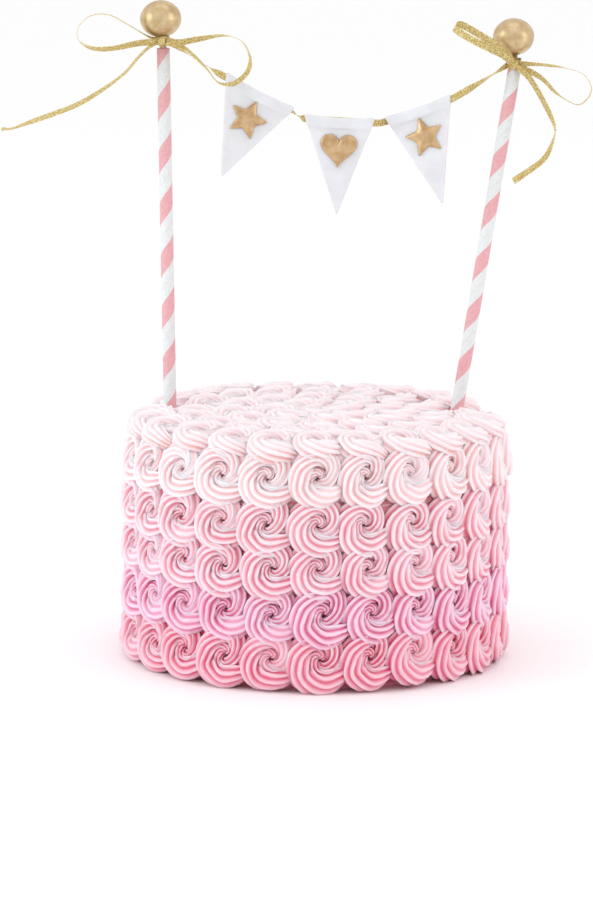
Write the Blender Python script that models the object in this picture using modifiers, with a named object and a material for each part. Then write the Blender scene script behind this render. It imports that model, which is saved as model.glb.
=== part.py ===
# Round birthday cake piped all over with icing rosettes, and its bunting topper.
# Metres, +Z up. The cake stands on z = 0 with its axis on the Z axis and its front towards -Y.
# Run: blender --background --python part.py

import math
import random

import bmesh
import bpy
from mathutils import Matrix, Vector

GAP = 0.0003  # air kept between neighbouring pieces

# Cake body
CAKE_R = 0.0762
CAKE_H = 0.1030
CAKE_EDGE = 0.0030
CAKE_SEGMENTS = 48

# Piped rosettes: heights above the cake, and how far each ring of a swirl reaches towards its edge
EDGE_H = 0.0045
CORNER_H = 0.0030
SHOULDER_H = 0.0088
CREST_H = 0.0124
HOLLOW_H = 0.0068
SHOULDER_REACH = 0.84
CREST_REACH = 0.47
SHOULDER_SLIDE = 0.55
CREST_SLIDE = 1.55
RIDGE = 0.0013
HOLLOW_SHIFT = (0.0004, 0.0016)
LEAN = 0.07

# Rows round the side, from the lowest up. Each row's round lower edge lies over the row below it.
PER_ROW = 24
ROW_HEIGHTS = (0.0132, 0.0352, 0.0553, 0.0749, 0.0948)
ROW_SHIFTS = (0.9, 1.4, 0.2, -0.9, -0.9)
COLUMN_TURN = 0.6
OVERHANG = 0.0115
SCALLOP = 0.0014
EDGE_R = 0.0828
EDGE_Z = 0.1072

# Rings on top, from the rim inwards, and the one swirl in the middle
RING_COUNTS = (24, 17, 12, 6)
RING_CENTRES = (0.0748, 0.0553, 0.0368, 0.0183)
RING_INNER = (0.0645, 0.0460, 0.0275, 0.0090)
RING_TURNS = (0.6, 9.0, 3.0, 20.0)

# Paper straws: where each enters the icing, how far it leans to the right, and how much of it shows
STRAW_LENGTH = 0.1970
STRAW_R = 0.0030
STRAW_WALL = 0.0005
ICING_TOP = 0.1120
STRAWS = {
    "left": {"x": -0.0677, "y": 0.0175, "lean": -1.35, "shown": 0.1650},
    "right": {"x": 0.0653, "y": 0.0175, "lean": 8.50, "shown": 0.1587},
}

# Gold finials
BALL_R = 0.0094
BALL_HALF_HEIGHT = 0.00845
NECK_R = 0.0016
PEG_LENGTH = 0.0120
# How much neck shows, how far it is bent aside, and where the knot sits on it and how large that is
HEADS = {
    "left": {"neck": 0.0049, "bend": -3.85, "knot_at": 0.0036, "knot": (0.0070, 0.0040, 0.0026), "band": 0.0024},
    "right": {"neck": 0.0064, "bend": -11.1, "knot_at": 0.0025, "knot": (0.0066, 0.0040, 0.0042), "band": 0.0032},
}

# Gold ribbon
RIBBON_W = 0.0032
RIBBON_T = 0.0004
LOOP_POINTS = 31
TAIL_POINTS = 24
BAND_R = 0.0032
KNOT_FORWARD = 0.0042
# Each bow's loops and tail pass through these points, in mm from the knot. Their turns are shares of the
# way along and degrees: 0 where the ribbon's face is to the front and 90 where its edge is.
BOWS = {
    "left": {
        "loops": [
            {
                "through": [
                    (-2.0, 0.2, 0.4), (-6.7, -0.6, 2.1), (-15.4, -1.6, 7.2), (-24.2, -2.6, 11.7), (-32.4, -3.8, 11.2),
                    (-37.8, -4.8, 6.1), (-37.8, -5.4, 0.4), (-31.8, -5.2, -3.3), (-22.4, -4.2, -3.4),
                    (-11.0, -2.4, -1.1), (-2.0, -0.8, -0.3),
                ],
                "turns": [(0.0, 62), (0.15, 82), (0.55, 82), (0.78, 40), (1.0, 12)],
            },
            {
                "through": [
                    (2.0, 0.2, 0.2), (7.7, -1.0, -0.6), (16.0, -2.2, 1.0), (28.2, -4.0, 3.0), (36.5, -6.0, 0.4),
                    (40.2, -7.6, -6.9), (38.8, -8.6, -13.4), (32.8, -8.8, -18.4), (25.7, -8.2, -17.9),
                    (20.1, -6.8, -11.5), (10.6, -3.6, -3.1), (2.0, -1.6, -0.5),
                ],
                "turns": [(0.0, 20), (0.15, 24), (0.35, 78), (0.4, 72), (0.52, 42), (0.6, 42), (0.76, 80), (1.0, 60)],
            },
        ],
        "tail": {
            "through": [
                (-1.5, -0.4, -0.4), (-6.6, -0.8, -3.5), (-11.0, -2.0, -7.8), (-17.0, -3.4, -14.7), (-26.4, -5.0, -21.8),
                (-37.6, -6.0, -28.6), (-48.9, -6.0, -33.2), (-60.3, -5.0, -37.4), (-68.2, -4.2, -40.3),
                (-72.9, -4.0, -40.6),
            ],
            "turns": [(0.0, 60), (0.25, 40), (0.6, 40), (0.85, 72), (1.0, 40)],
        },
    },
    "right": {
        "loops": [
            {
                "through": [
                    (-1.0, -0.8, 1.5), (-5.6, -4.4, 7.5), (-12.4, -5.4, 11.3), (-19.6, -6.2, 15.6), (-25.3, -7.4, 18.4),
                    (-27.9, -9.9, 17.4), (-26.3, -12.4, 15.6), (-20.2, -12.2, 12.0), (-13.0, -10.4, 8.4),
                    (-5.6, -7.0, 4.7), (-1.0, -1.8, 0.8),
                ],
                "width": (0.51, 0.1, 0.86),
            },
            {
                "through": [
                    (1.5, 0.2, 0.3), (6.3, -0.4, 0.4), (14.5, -1.4, 0.0), (23.8, -2.6, -1.3), (31.5, -3.8, -4.1),
                    (34.9, -4.6, -10.6), (31.7, -4.8, -16.2), (27.4, -4.4, -17.3), (19.1, -3.2, -12.6),
                    (11.8, -1.8, -5.6), (1.5, -0.8, -0.6),
                ],
                "turns": [(0.0, 20), (0.25, 50), (0.4, 78), (0.72, 80), (0.85, 50), (1.0, 20)],
            },
        ],
        "tail": {
            "through": [
                (1.0, -1.2, -1.0), (6.9, -2.0, -6.2), (13.6, -3.6, -17.0), (18.4, -5.0, -27.3), (18.0, -5.6, -33.3),
                (14.0, -5.6, -42.2), (5.4, -4.8, -49.1), (0.2, -4.2, -52.8),
            ],
            "turns": [(0.0, 30), (0.3, 40), (0.52, 76), (0.74, 40), (1.0, 20)],
        },
    },
}

# Pennants. No two are the same: each has its own width and height, and its tip lies a little to one side.
FLAG_T = 0.0020
HEM_H = 0.0050
HEM_T = 0.0034
FLAGS = {
    "left": {
        "middle": (-0.0279, 0.0155, 0.2565), "slope": -27.0, "turn": 3.0, "swing": 6.0,
        "width": 0.0360, "height": 0.0443, "tip": 0.0019,
    },
    "middle": {
        "middle": (0.0091, 0.0150, 0.2449), "slope": -3.0, "turn": 0.0, "swing": 3.0,
        "width": 0.0330, "height": 0.0460, "tip": 0.0015,
    },
    "right": {
        "middle": (0.0455, 0.0155, 0.2501), "slope": 20.3, "turn": -13.0, "swing": 4.0,
        "width": 0.0330, "height": 0.0471, "tip": -0.0031,
    },
}
EMBLEM_SIZE = 0.0170
EMBLEM_T = 0.0014
EMBLEM_DROP = 0.0125

COLOURS = {
    "sponge_coat": (0.90, 0.60, 0.66),
    "pink_1": (0.83, 0.36, 0.46),
    "pink_2": (0.85, 0.40, 0.53),
    "pink_3": (0.87, 0.48, 0.57),
    "pink_4": (0.89, 0.54, 0.61),
    "pink_5": (0.92, 0.72, 0.73),
    "pink_top": (0.93, 0.82, 0.83),
    "straw_paper": (0.93, 0.62, 0.64),
    "gold_paint": (0.60, 0.42, 0.20),
    "gold_ribbon": (0.62, 0.48, 0.20),
    "white_fondant": (0.88, 0.87, 0.88),
    "gold_fondant": (0.66, 0.46, 0.24),
}


# Scene, collections and materials

def clear_scene():
    for thing in list(bpy.data.objects):
        bpy.data.objects.remove(thing, do_unlink=True)


def new_collection(name):
    made = bpy.data.collections.new(name)
    bpy.context.scene.collection.children.link(made)
    return made


def material(name, roughness=0.5, metallic=0.0):
    found = bpy.data.materials.get(name)
    if found:
        return found
    made = bpy.data.materials.new(name)
    made.use_nodes = True
    shader = made.node_tree.nodes["Principled BSDF"]
    shader.inputs["Base Color"].default_value = (*COLOURS[name], 1.0)
    shader.inputs["Roughness"].default_value = roughness
    shader.inputs["Metallic"].default_value = metallic
    made.diffuse_color = (*COLOURS[name], 1.0)
    return made


def add_object(name, mesh, collection, finish=None):
    thing = bpy.data.objects.new(name, mesh)
    collection.objects.link(thing)
    if finish:
        mesh.materials.clear()
        mesh.materials.append(finish)
    return thing


def face_outward(bm):
    bmesh.ops.recalc_face_normals(bm, faces=bm.faces)
    if bm.calc_volume(signed=True) < 0:
        bmesh.ops.reverse_faces(bm, faces=bm.faces)


def mesh_from(bm, name):
    face_outward(bm)
    mesh = bpy.data.meshes.new(name)
    bm.to_mesh(mesh)
    bm.free()
    return mesh


def as_mesh(thing, collection, finish=None):
    """A curve or an object with modifiers becomes a plain welded mesh object."""
    bpy.context.view_layer.update()
    name = thing.name
    seen = thing.evaluated_get(bpy.context.evaluated_depsgraph_get())
    mesh = bpy.data.meshes.new_from_object(seen)
    place = thing.matrix_world.copy()
    bpy.data.objects.remove(thing, do_unlink=True)
    bm = bmesh.new()
    bm.from_mesh(mesh)
    bmesh.ops.remove_doubles(bm, verts=bm.verts, dist=0.00001)
    face_outward(bm)
    bm.to_mesh(mesh)
    bm.free()
    mesh.name = name
    made = add_object(name, mesh, collection, finish)
    made.name = name
    made.matrix_world = place
    return made


def combine(base, tools, operation, collection, solver="EXACT"):
    """Joins the tools to the base, or cuts them from it, and removes them."""
    group = new_collection("tools for " + base.name)
    for tool in tools:
        for owner in list(tool.users_collection):
            owner.objects.unlink(tool)
        group.objects.link(tool)
    step = base.modifiers.new(operation.lower(), "BOOLEAN")
    step.operation = operation
    step.solver = solver
    step.operand_type = "COLLECTION"
    step.collection = group
    finish = base.data.materials[0] if base.data.materials else None
    made = as_mesh(base, collection, finish)
    for tool in list(group.objects):
        bpy.data.objects.remove(tool, do_unlink=True)
    bpy.data.collections.remove(group)
    return made


# Icing rosettes

def swirl_draws(seed, count):
    """How each swirl of a row differs from the next: sideways, along, reach, slide, height and lean."""
    chance = random.Random(seed)
    draws = []
    for _ in range(count):
        draws.append({
            "side": chance.uniform(-0.0007, 0.0007),
            "up": chance.uniform(-0.0007, 0.0007),
            "reach": chance.uniform(0.96, 1.04),
            "slide": chance.uniform(-0.35, 0.35),
            "height": chance.uniform(-0.0005, 0.0005),
            "lean": chance.uniform(-0.03, 0.03),
        })
    return draws


def draw_swirl(bm, face, place, draw):
    """Draws a face up into a swirl, ring by ring, with every second corner a ridge, and hollows its middle."""
    to_cell = place.inverted()
    edge = [to_cell @ corner.co for corner in face.verts]
    count = len(edge)
    odd_ridge = abs(edge[1].x * edge[1].y) > abs(edge[0].x * edge[0].y)
    rings = (
        (SHOULDER_REACH * draw["reach"], SHOULDER_H, SHOULDER_SLIDE, 0.5),
        (CREST_REACH * draw["reach"], CREST_H, CREST_SLIDE + draw["slide"], 1.0),
    )
    hollow = Vector((*HOLLOW_SHIFT, 0))
    for reach, height, slide, shift in rings:
        bmesh.ops.inset_individual(bm, faces=[face], thickness=0.0005)
        for number, corner in enumerate(face.verts):
            spot = number - slide
            before = math.floor(spot)
            side = edge[before % count].lerp(edge[(before + 1) % count], spot - before)
            local = side * reach + hollow * shift
            sign = 1 if (number % 2 == 1) == odd_ridge else -1
            leaning = (LEAN + draw["lean"]) * (-local.x - local.y) / math.sqrt(2)
            local.z = height + draw["height"] + leaning + RIDGE * sign
            corner.co = place @ local
    middle = bmesh.ops.poke(bm, faces=[face])["verts"][0]
    middle.co = place @ Vector((*HOLLOW_SHIFT, HOLLOW_H))


def frame_of(x_axis, y_axis, z_axis, centre):
    place = Matrix((x_axis, y_axis, z_axis)).transposed().to_4x4()
    place.translation = centre
    return place


def side_place(angle, height, draw):
    """Frame of a swirl on the side: x to the right, y up and z outward, seen from outside."""
    outward = Vector((math.sin(angle), -math.cos(angle), 0))
    right = Vector((math.cos(angle), math.sin(angle), 0))
    up = Vector((0, 0, 1))
    centre = outward * (CAKE_R + GAP) + right * draw["side"] + up * (height + draw["up"])
    return frame_of(right, up, outward, centre)


def top_place(angle, radius, draw):
    """Frame of a swirl on the top: y towards the middle and z up."""
    inward = Vector((-math.sin(angle), math.cos(angle), 0))
    right = Vector((math.cos(angle), math.sin(angle), 0))
    up = Vector((0, 0, 1))
    centre = -inward * (radius + draw["up"]) + right * draw["side"] + up * (CAKE_H + GAP)
    return frame_of(right, inward, up, centre)


def boundary(front, back, scallop, rise, seed):
    """Where two bands meet: for each column, the point in front and the point at the back.

    Even columns are the middles of the swirls and odd ones the corners between them.
    """
    chance = random.Random(seed)
    points = []
    for column in range(2 * PER_ROW):
        sign = 1 if column % 2 == 0 else -1
        uneven = chance.uniform(-0.0004, 0.0004) if seed else 0.0
        depth = 0.0 if sign > 0 else EDGE_H - CORNER_H
        across = Vector((scallop[0] * sign - depth, scallop[1] * sign + uneven + rise))
        points.append((Vector(front) + across, Vector(back) + Vector((0, rise))))
    return points


def split_walls(bm, spots):
    """Splits the quads of both walls along the same diagonals in every band, so that two bands fit closely."""
    for face in list(bm.faces):
        here = {spots[vertex]: vertex for vertex in face.verts}
        front = [here[spot] for spot in here if spot[1] in (0, 2) and spot[0] % 2 == 1]
        back = [here[spot] for spot in here if spot[1] in (3, 4) and spot[0] % 2 == 0]
        if len(front) == 1 and len(back) == 1:
            bmesh.utils.face_split(face, front[0], back[0])


def flat_boundary(radius, front_z, back_z, count):
    return [(Vector((radius, front_z)), Vector((radius, back_z)))] * (2 * count)


def rosette_band(name, turn, low, high, places, draws, collection, finish):
    """A ring of swirls that share their edges: a section turned about Z, whose cells are drawn up into swirls.

    The low and high boundaries give the section's corners in every column.
    """
    columns = len(low)
    bm = bmesh.new()
    section = [Vector((0.070, 0, 0.001 * level)) for level in range(5)]
    spots = [bm.verts.new(spot) for spot in section]
    lines = [bm.edges.new(pair) for pair in zip(spots, spots[1:] + spots[:1])]
    bmesh.ops.spin(
        bm, geom=spots + lines, cent=(0, 0, 0), axis=(0, 0, 1), angle=math.tau, steps=columns, use_merge=True
    )
    cell_middles, places_of = [], {}
    for vertex in bm.verts:
        column = round(math.atan2(vertex.co.y, vertex.co.x) / math.tau * columns) % columns
        level = round(vertex.co.z / 0.001)
        places_of[vertex] = (column, level)
        bottom, top = low[column], high[column]
        corners = (bottom[0], (bottom[0] + top[0]) / 2, top[0], top[1], bottom[1])
        radius, height = corners[level]
        angle = turn + math.tau * column / columns
        vertex.co = Vector((radius * math.sin(angle), -radius * math.cos(angle), height))
        if level == 1 and column % 2 == 0:
            cell_middles.append(vertex)
    split_walls(bm, places_of)
    bmesh.ops.dissolve_verts(bm, verts=cell_middles)
    face_outward(bm)
    cells = [face for face in bm.faces if len(face.verts) == 8]
    for cell in cells:
        centre = cell.calc_center_median()
        nearest = min(range(len(places)), key=lambda n: (places[n].translation - centre).length)
        draw_swirl(bm, cell, places[nearest], draws[nearest])
    return add_object(name, mesh_from(bm, name), collection, finish)


def make_side_rows(cake):
    """Five bands of swirls, one above another round the side."""
    back_r = (CAKE_R + GAP) / math.cos(math.pi / (2 * PER_ROW))
    front_r = CAKE_R + EDGE_H
    turn = math.radians(COLUMN_TURN)
    for row, height in enumerate(ROW_HEIGHTS):
        if row == 0:
            low = boundary((front_r, 0.0005), (back_r, 0.0005), (0, 0), 0, 0)
        else:
            level = height - OVERHANG
            low = boundary((front_r, level), (back_r, level), (0, -SCALLOP), GAP / 2, row)
        if row < len(ROW_HEIGHTS) - 1:
            level = ROW_HEIGHTS[row + 1] - OVERHANG
            high = boundary((front_r, level), (back_r, level), (0, -SCALLOP), -GAP / 2, row + 1)
        else:
            high = shoulder(-GAP / 2, back_r)
        draws = swirl_draws(10 + row, PER_ROW)
        shifted = turn + math.radians(ROW_SHIFTS[row])
        places = [side_place(shifted + n * math.tau / PER_ROW, height, draws[n]) for n in range(PER_ROW)]
        name = f"rosettes_row_{row + 1}"
        rosette_band(name, turn, low, high, places, draws, cake, material(f"pink_{row + 1}"))


def shoulder(rise, back_r):
    """The edge between the highest row and the outermost ring on top."""
    back = (back_r, CAKE_H + GAP / 2)
    return boundary((EDGE_R, EDGE_Z), back, (0.0010, -0.0010), rise, 9)


def make_top_rings(cake):
    """Rings of swirls on top, and one swirl in the middle."""
    base = CAKE_H + GAP
    back_r = (CAKE_R + GAP) / math.cos(math.pi / (2 * PER_ROW))
    for ring, count in enumerate(RING_COUNTS):
        if ring == 0:
            low = shoulder(GAP / 2, back_r)
        else:
            apothem = RING_INNER[ring - 1] * math.cos(math.pi / (2 * RING_COUNTS[ring - 1]))
            low = flat_boundary(apothem - GAP, base + EDGE_H, base, count)
        high = flat_boundary(RING_INNER[ring], base + EDGE_H, base, count)
        draws = swirl_draws(30 + ring, count)
        turn = math.radians(RING_TURNS[ring])
        places = [top_place(turn + n * math.tau / count, RING_CENTRES[ring], draws[n]) for n in range(count)]
        name = f"rosettes_ring_{ring + 1}"
        band = rosette_band(name, turn, low, high, places, draws, cake, material("pink_top"))
        if ring < 2:
            combine(band, straw_cutters(cake), "DIFFERENCE", cake)
    make_middle_swirl(cake)


def make_middle_swirl(cake):
    radius = RING_INNER[-1] * math.cos(math.pi / (2 * RING_COUNTS[-1])) - GAP
    base = CAKE_H + GAP
    bm = bmesh.new()
    bmesh.ops.create_cone(
        bm,
        cap_ends=True,
        segments=8,
        radius1=radius,
        radius2=radius,
        depth=EDGE_H,
        matrix=Matrix.Translation((0, 0, base + EDGE_H / 2)),
    )
    face = max(bm.faces, key=lambda f: f.calc_center_median().z)
    draw = swirl_draws(40, 1)[0]
    draw_swirl(bm, face, top_place(0, 0, {"side": 0, "up": 0}), draw)
    add_object("rosette_middle", mesh_from(bm, "rosette_middle"), cake, material("pink_top"))


# Cake body

def make_cake_body(cake):
    bm = bmesh.new()
    bmesh.ops.create_cone(
        bm,
        cap_ends=True,
        segments=CAKE_SEGMENTS,
        radius1=CAKE_R,
        radius2=CAKE_R,
        depth=CAKE_H,
        matrix=Matrix.Translation((0, 0, CAKE_H / 2)),
    )
    rim = [edge for edge in bm.edges if all(v.co.z > CAKE_H * 0.9 for v in edge.verts)]
    bmesh.ops.bevel(bm, geom=rim, offset=CAKE_EDGE, segments=1, profile=0.5, affect="EDGES", material=-1)
    body = add_object("cake_body", mesh_from(bm, "cake_body"), cake, material("sponge_coat"))
    combine(body, straw_cutters(cake), "DIFFERENCE", cake)


# Straws and finials

def straw_frame(side):
    """The straw's own frame: origin where it enters the icing, z up along the straw."""
    facts = STRAWS[side]
    place = Matrix.Translation((facts["x"], facts["y"], ICING_TOP))
    return place @ Matrix.Rotation(math.radians(facts["lean"]), 4, "Y")


def straw_cutters(collection):
    made = []
    for side in STRAWS:
        sunk = STRAW_LENGTH - STRAWS[side]["shown"] + GAP
        reach = 0.030
        bm = bmesh.new()
        bmesh.ops.create_cone(
            bm,
            cap_ends=True,
            segments=16,
            radius1=STRAW_R + GAP,
            radius2=STRAW_R + GAP,
            depth=sunk + reach,
            matrix=straw_frame(side) @ Matrix.Translation((0, 0, (reach - sunk) / 2)),
        )
        made.append(add_object(f"straw cutter {side}", mesh_from(bm, "straw cutter"), collection))
    return made


def turned(name, profile, collection, finish, steps):
    """A closed or open profile in the XZ plane, turned about Z."""
    bm = bmesh.new()
    corners = [bm.verts.new((x, 0, z)) for x, z in profile]
    for first, second in zip(corners, corners[1:]):
        bm.edges.new((first, second))
    if profile[0][0] > 0:
        bm.edges.new((corners[-1], corners[0]))
    mesh = bpy.data.meshes.new(name)
    bm.to_mesh(mesh)
    bm.free()
    thing = add_object(name, mesh, collection, finish)
    screw = thing.modifiers.new("turn", "SCREW")
    screw.steps = steps
    screw.render_steps = steps
    screw.use_merge_vertices = True
    screw.merge_threshold = 0.00002
    return thing


def make_straw(side, topper):
    sunk = STRAW_LENGTH - STRAWS[side]["shown"]
    inner = STRAW_R - STRAW_WALL
    low, high = -sunk, STRAWS[side]["shown"]
    profile = [(STRAW_R, high), (STRAW_R, low), (inner, low), (inner, high)]
    straw = turned(f"straw_{side}", profile, topper, material("straw_paper"), 16)
    straw.matrix_world = straw_frame(side)


def head_frame(side):
    """The finial's frame above its straw: origin at the straw's mouth, z up along the bent neck."""
    mouth = straw_frame(side) @ Matrix.Translation((0, 0, STRAWS[side]["shown"]))
    return mouth @ Matrix.Rotation(math.radians(HEADS[side]["bend"]), 4, "Y")


def make_finial(side, topper):
    """A flattened ball on a neck that goes down into the straw, bent aside above the straw's mouth."""
    centre = HEADS[side]["neck"] + BALL_HALF_HEIGHT
    join = math.asin(NECK_R / BALL_R)
    turns = 9
    profile = [(0.0, centre + BALL_HALF_HEIGHT)]
    for step in range(1, turns + 1):
        angle = step / turns * (math.pi - join)
        profile.append((BALL_R * math.sin(angle), centre + BALL_HALF_HEIGHT * math.cos(angle)))
    profile += [(NECK_R, 0.0), (NECK_R, -PEG_LENGTH), (0.0, -PEG_LENGTH)]
    finish = material("gold_paint", 0.3, 0.9)
    finial = as_mesh(turned(f"finial_{side}", profile, topper, finish, 18), topper, finish)
    bend = Matrix.Rotation(math.radians(HEADS[side]["bend"]), 4, "Y")
    for vertex in finial.data.vertices:
        if vertex.co.z > GAP:
            vertex.co = bend @ vertex.co
    finial.matrix_world = straw_frame(side) @ Matrix.Translation((0, 0, STRAWS[side]["shown"]))


# Ribbon

def strip_mesh(name, route, across):
    """A flat ribbon: a thin rectangle carried along the route, its width turned to lie along across."""
    bm = bmesh.new()
    count = len(route)
    sections = []
    for number, centre in enumerate(route):
        ahead = route[min(number + 1, count - 1)] - route[max(number - 1, 0)]
        ahead.normalize()
        wide = (across[number] - ahead * across[number].dot(ahead)).normalized()
        thick = ahead.cross(wide)
        corners = [
            centre + wide * RIBBON_W / 2 * a + thick * RIBBON_T / 2 * b
            for a, b in ((-1, -1), (1, -1), (1, 1), (-1, 1))
        ]
        sections.append(corners)
    end = bm.faces.new([bm.verts.new(corner) for corner in sections[0]])
    start_cap = end.copy()
    start_cap.normal_flip()
    for corners in sections[1:]:
        drawn = bmesh.ops.extrude_face_region(bm, geom=[end])
        fresh = next(item for item in drawn["geom"] if isinstance(item, bmesh.types.BMFace))
        if end.is_valid:
            bmesh.ops.delete(bm, geom=[end], context="FACES_KEEP_BOUNDARY")
        for vertex, corner in zip(fresh.verts, corners):
            vertex.co = corner
        end = fresh
    bmesh.ops.remove_doubles(bm, verts=bm.verts, dist=0.00001)
    return mesh_from(bm, name)


def smooth_route(points, count):
    """A curve through every point, evenly spread by their number."""
    ends = [points[0] * 2 - points[1], points[-1] * 2 - points[-2]]
    guide = [ends[0], *points, ends[1]]
    route = []
    for number in range(count):
        spot = number / (count - 1) * (len(points) - 1)
        first = min(int(spot), len(points) - 2)
        t = spot - first
        a, b, c, d = guide[first : first + 4]
        route.append(
            (b * 2 + (c - a) * t + (a * 2 - b * 5 + c * 4 - d) * t**2 + (b * 3 - a - c * 3 + d) * t**3) / 2
        )
    return route


def along_keys(keys, share):
    for (start, first), (end, last) in zip(keys, keys[1:]):
        if share <= end:
            return first + (last - first) * (share - start) / (end - start)
    return keys[-1][1]


def turning_width(route, turns):
    """The width's direction along a route, from its turns towards the front."""
    across = []
    count = len(route)
    for number in range(count):
        ahead = (route[min(number + 1, count - 1)] - route[max(number - 1, 0)]).normalized()
        flat = ahead.cross(Vector((0, 1, 0))).normalized()
        angle = math.radians(along_keys(turns, number / (count - 1)))
        across.append(Matrix.Rotation(angle, 3, ahead) @ flat)
    return across


def ribbon_route(knot, facts, count):
    route = smooth_route([knot + Vector(point) / 1000 for point in facts["through"]], count)
    if "width" in facts:
        return route, [Vector(facts["width"]).normalized()] * count
    return route, turning_width(route, facts["turns"])


def knot_centre(side):
    return head_frame(side) @ Vector((0, -KNOT_FORWARD, HEADS[side]["knot_at"]))


def make_bow(side, topper):
    """Band round the neck, knot in front of it, two loops and a tail, joined into one piece."""
    finish = material("gold_ribbon", 0.35, 0.8)
    facts, bow = HEADS[side], BOWS[side]
    knot = knot_centre(side)
    half = facts["band"] / 2
    inner = NECK_R + GAP
    middle = facts["knot_at"]
    profile = [(BAND_R, middle + half), (BAND_R, middle - half), (inner, middle - half), (inner, middle + half)]
    band = turned(f"bow_{side}", profile, topper, finish, 12)
    band.matrix_world = head_frame(side)
    band = as_mesh(band, topper, finish)
    bm = bmesh.new()
    bmesh.ops.create_cube(bm, size=1.0, matrix=Matrix.Diagonal((*facts["knot"], 1)))
    bmesh.ops.bevel(
        bm, geom=bm.edges[:], offset=0.0009, segments=1, profile=0.5, affect="EDGES", material=-1
    )
    lump = add_object(f"knot {side}", mesh_from(bm, "knot"), topper)
    lump.data.transform(Matrix.Translation(knot))
    pieces = [lump]
    for number, strand in enumerate([*bow["loops"], bow["tail"]]):
        count = TAIL_POINTS if strand is bow["tail"] else LOOP_POINTS
        route, across = ribbon_route(knot, strand, count)
        pieces.append(add_object(f"strand {side} {number}", strip_mesh("strand", route, across), topper))
    return combine(band, pieces, "UNION", topper)


def flag_frame(side):
    """A flag's own frame: origin at the middle of its hem, x along the hem, z up and -y to the front."""
    facts = FLAGS[side]
    return (
        Matrix.Translation(facts["middle"])
        @ Matrix.Rotation(math.radians(facts["turn"]), 4, "Z")
        @ Matrix.Rotation(-math.radians(facts["slope"]), 4, "Y")
    )


def garland_route():
    """Straight through each hem, and in slack curves between the hems and the knots."""
    start = knot_centre("left") + Vector((0.0042, 0.0026, -0.0012))
    end = knot_centre("right") + Vector((-0.0042, 0.0026, -0.0004))
    route = [start]
    for side in FLAGS:
        frame = flag_frame(side)
        half = FLAGS[side]["width"] / 2
        inlet, outlet = frame @ Vector((-half, 0, 0)), frame @ Vector((half, 0, 0))
        route += between(route[-1], inlet, 0.0004 if side == "left" else 0.0002)
        route += [inlet, outlet]
    route += between(route[-1], end, 0.0002)
    route.append(end)
    return route


def between(first, last, sag):
    """Points on a slack stretch, the ends left out."""
    steps = 5 if (last - first).length > 0.010 else 2
    points = []
    for number in range(1, steps):
        share = number / steps
        drop = Vector((0, 0, -4 * sag * share * (1 - share)))
        points.append(first.lerp(last, share) + drop)
    return points


def make_ribbons(topper):
    for side in BOWS:
        make_bow(side, topper)
    route = garland_route()
    across = [(Vector((0, 0.12, 1))).normalized()] * len(route)
    garland = strip_mesh("garland", route, across)
    add_object("garland_ribbon", garland, topper, material("gold_ribbon", 0.35, 0.8))


# Pennants and their emblems

def outline(name, points, thickness, rounding, collection):
    """A flat outline as a filled 2D curve, made a closed mesh with softened edges."""
    curve = bpy.data.curves.new(name, "CURVE")
    curve.dimensions = "2D"
    curve.fill_mode = "BOTH"
    curve.extrude = thickness / 2 - rounding
    curve.bevel_depth = rounding
    curve.bevel_resolution = 0
    curve.offset = -rounding
    spline = curve.splines.new("POLY")
    spline.points.add(len(points) - 1)
    for point, (x, y) in zip(spline.points, points):
        point.co = (x, y, 0, 1)
    spline.use_cyclic_u = True
    thing = bpy.data.objects.new(name, curve)
    collection.objects.link(thing)
    return as_mesh(thing, collection)


def rounded(corners, radius, steps):
    """A closed outline with each corner replaced by a short arc."""
    points = []
    count = len(corners)
    for number, corner in enumerate(corners):
        here = Vector(corner)
        back = (Vector(corners[number - 1]) - here).normalized()
        on = (Vector(corners[(number + 1) % count]) - here).normalized()
        half = back.angle(on) / 2
        reach = radius / math.tan(half)
        first, last = here + back * reach, here + on * reach
        for step in range(steps + 1):
            t = step / steps
            points.append(tuple(first * (1 - t) ** 2 + here * 2 * t * (1 - t) + last * t * t))
    return points


def star_points(radius):
    """Five points, worked out round a circle, with the valleys at 0.48 of the radius."""
    points = []
    for number in range(10):
        reach = radius if number % 2 == 0 else radius * 0.48
        angle = math.pi / 2 + number * math.pi / 5
        points.append((reach * math.cos(angle), reach * math.sin(angle)))
    return points


def heart_points(size, count=20):
    points = []
    for number in range(count):
        t = math.tau * (number + 0.5) / count
        x = math.sin(t) ** 3
        y = (13 * math.cos(t) - 5 * math.cos(2 * t) - 2 * math.cos(3 * t) - math.cos(4 * t)) / 16
        points.append((-x * size / 2, y * size / 2))
    return points


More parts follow.
